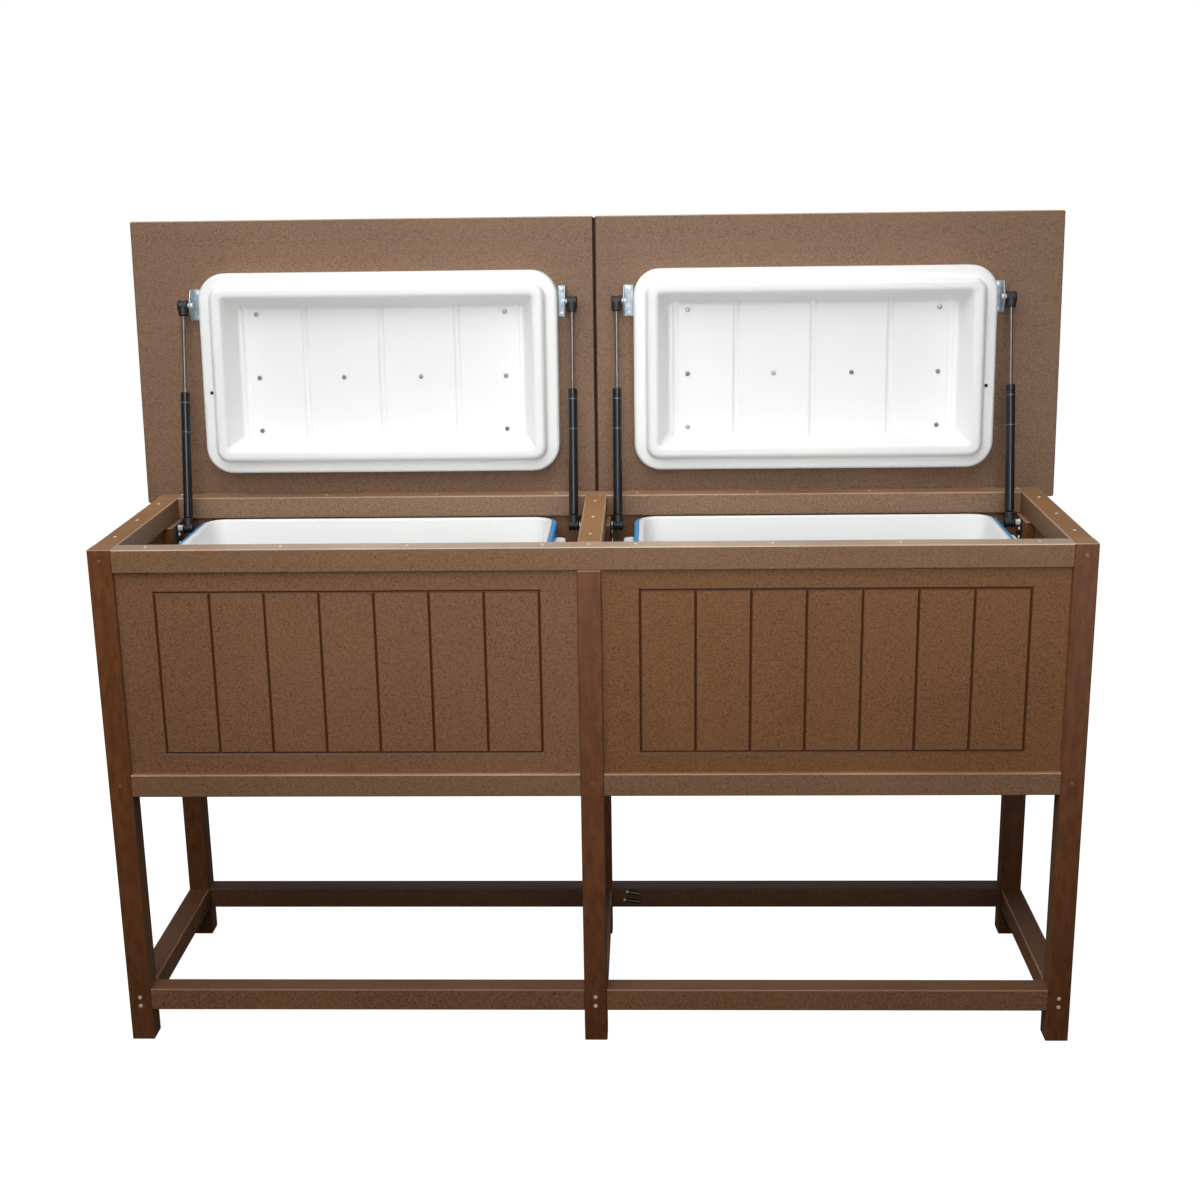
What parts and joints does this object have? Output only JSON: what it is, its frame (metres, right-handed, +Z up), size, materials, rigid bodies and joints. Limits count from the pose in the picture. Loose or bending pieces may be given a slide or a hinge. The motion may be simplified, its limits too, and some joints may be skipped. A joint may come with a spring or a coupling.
{
  "type": "raised ice chest",
  "caption": "Raised double ice chest: lumber frame with grooved panels, drop-in coolers, and hinged lids with moulded liners held up by gas struts.",
  "frame": {"origin": "centre of the box of the open chest, on the floor under the legs", "axes": "+Z up, -Y towards the user, +X to the user's right"},
  "size_m": [1.6376, 0.4905, 1.3368],
  "materials": {
    "frame_lumber": "oiled brown lumber, satin",
    "panel_sheet": "textured speckled brown sheet, satin",
    "floor_sheet": "textured brown sheet",
    "lid_sheet": "textured speckled brown sheet, satin",
    "lid_liner_plastic": "white moulded plastic",
    "cooler_liner_plastic": "white moulded plastic",
    "cooler_shell_plastic": "blue moulded plastic",
    "strut_tube_paint": "black semi-gloss paint",
    "strut_rod_steel": "dark nitrided steel",
    "bracket_zinc": "zinc plated",
    "hinge_steel": "plain steel",
    "screw_steel": "stainless"
  },
  "bodies": {
    "frame": {"leg_front_left": "frame_lumber", "leg_front_center": "frame_lumber", "leg_front_right": "frame_lumber", "leg_rear_left": "frame_lumber", "leg_rear_center": "frame_lumber", "leg_rear_right": "frame_lumber", "top_rail_front": "frame_lumber", "top_rail_rear": "frame_lumber", "top_rail_left": "frame_lumber", "top_rail_right": "frame_lumber", "top_rail_center": "frame_lumber", "lower_rail_front_left": "frame_lumber", "lower_rail_front_right": "frame_lumber", "lower_rail_rear_left": "frame_lumber", "lower_rail_rear_right": "frame_lumber", "lower_rail_left": "frame_lumber", "lower_rail_right": "frame_lumber", "lower_rail_center": "frame_lumber", "stretcher_front_left": "frame_lumber", "stretcher_front_right": "frame_lumber", "stretcher_rear_left": "frame_lumber", "stretcher_rear_right": "frame_lumber", "stretcher_left": "frame_lumber", "stretcher_right": "frame_lumber", "stretcher_center": "frame_lumber", "panel_front_left": "panel_sheet", "panel_front_right": "panel_sheet", "panel_rear_left": "panel_sheet", "panel_rear_right": "panel_sheet", "panel_left": "panel_sheet", "panel_right": "panel_sheet", "floor_board_left": "floor_sheet", "floor_board_right": "floor_sheet", "strut_blocks": "frame_lumber", "strut_feet": "bracket_zinc", "cooler_shell_left": "cooler_shell_plastic", "cooler_shell_right": "cooler_shell_plastic", "cooler_liner_left": "cooler_liner_plastic", "cooler_liner_right": "cooler_liner_plastic", "cooler_handles": "cooler_liner_plastic", "cooler_drain_plugs": "cooler_liner_plastic", "hinge_frame_leaves": "hinge_steel"},
    "lid_left": {"lid_left": "lid_sheet", "lid_liner_left": "lid_liner_plastic", "lid_hinge_leaves_left": "hinge_steel", "lid_brackets_left": "bracket_zinc", "liner_screws_left": "screw_steel"},
    "lid_right": {"lid_right": "lid_sheet", "lid_liner_right": "lid_liner_plastic", "lid_hinge_leaves_right": "hinge_steel", "lid_brackets_right": "bracket_zinc", "liner_screws_right": "screw_steel"},
    "tube_left_outer": {"strut_tube_left_outer": "strut_tube_paint"},
    "rod_left_outer": {"strut_rod_left_outer": "strut_rod_steel"},
    "tube_left_inner": {"strut_tube_left_inner": "strut_tube_paint"},
    "rod_left_inner": {"strut_rod_left_inner": "strut_rod_steel"},
    "tube_right_outer": {"strut_tube_right_outer": "strut_tube_paint"},
    "rod_right_outer": {"strut_rod_right_outer": "strut_rod_steel"},
    "tube_right_inner": {"strut_tube_right_inner": "strut_tube_paint"},
    "rod_right_inner": {"strut_rod_right_inner": "strut_rod_steel"}
  },
  "joints": [
    {"name": "lid_hinge_left", "type": "hinge", "parent": "frame", "child": "lid_left", "pos_m": [0, 0.1931, 0.8516], "axis": [1, 0, 0], "range_deg": [0, 93.4]},
    {"name": "lid_hinge_right", "type": "hinge", "parent": "frame", "child": "lid_right", "pos_m": [0, 0.1931, 0.8516], "axis": [1, 0, 0], "range_deg": [0, 93.4]},
    {"name": "strut_swing_left_outer", "type": "hinge", "parent": "frame", "child": "tube_left_outer", "pos_m": [-0.7247, 0.1125, 0.809], "axis": [1, 0, 0], "range_deg": [0, 97.69]},
    {"name": "strut_slide_left_outer", "type": "slide", "parent": "tube_left_outer", "child": "rod_left_outer", "axis": [0, 0.1973, 0.9803], "range_m": [-0.1314, 0]},
    {"name": "strut_swing_left_inner", "type": "hinge", "parent": "frame", "child": "tube_left_inner", "pos_m": [-0.039, 0.1125, 0.809], "axis": [1, 0, 0], "range_deg": [0, 97.69]},
    {"name": "strut_slide_left_inner", "type": "slide", "parent": "tube_left_inner", "child": "rod_left_inner", "axis": [0, 0.1973, 0.9803], "range_m": [-0.1314, 0]},
    {"name": "strut_swing_right_outer", "type": "hinge", "parent": "frame", "child": "tube_right_outer", "pos_m": [0.7247, 0.1125, 0.809], "axis": [1, 0, 0], "range_deg": [0, 97.69]},
    {"name": "strut_slide_right_outer", "type": "slide", "parent": "tube_right_outer", "child": "rod_right_outer", "axis": [0, 0.1973, 0.9803], "range_m": [-0.1314, 0]},
    {"name": "strut_swing_right_inner", "type": "hinge", "parent": "frame", "child": "tube_right_inner", "pos_m": [0.039, 0.1125, 0.809], "axis": [1, 0, 0], "range_deg": [0, 97.69]},
    {"name": "strut_slide_right_inner", "type": "slide", "parent": "tube_right_inner", "child": "rod_right_inner", "axis": [0, 0.1973, 0.9803], "range_m": [-0.1314, 0]}
  ],
  "couplings": [
    {"joint": "strut_swing_left_outer", "follows": "lid_hinge_left", "ratio": 1.0406},
    {"joint": "strut_slide_left_outer", "follows": "lid_hinge_left", "m_per_rad": -0.080361},
    {"joint": "strut_swing_left_inner", "follows": "lid_hinge_left", "ratio": 1.0406},
    {"joint": "strut_slide_left_inner", "follows": "lid_hinge_left", "m_per_rad": -0.080361},
    {"joint": "strut_swing_right_outer", "follows": "lid_hinge_right", "ratio": 1.0406},
    {"joint": "strut_slide_right_outer", "follows": "lid_hinge_right", "m_per_rad": -0.080361},
    {"joint": "strut_swing_right_inner", "follows": "lid_hinge_right", "ratio": 1.0406},
    {"joint": "strut_slide_right_inner", "follows": "lid_hinge_right", "m_per_rad": -0.080361}
  ]
}
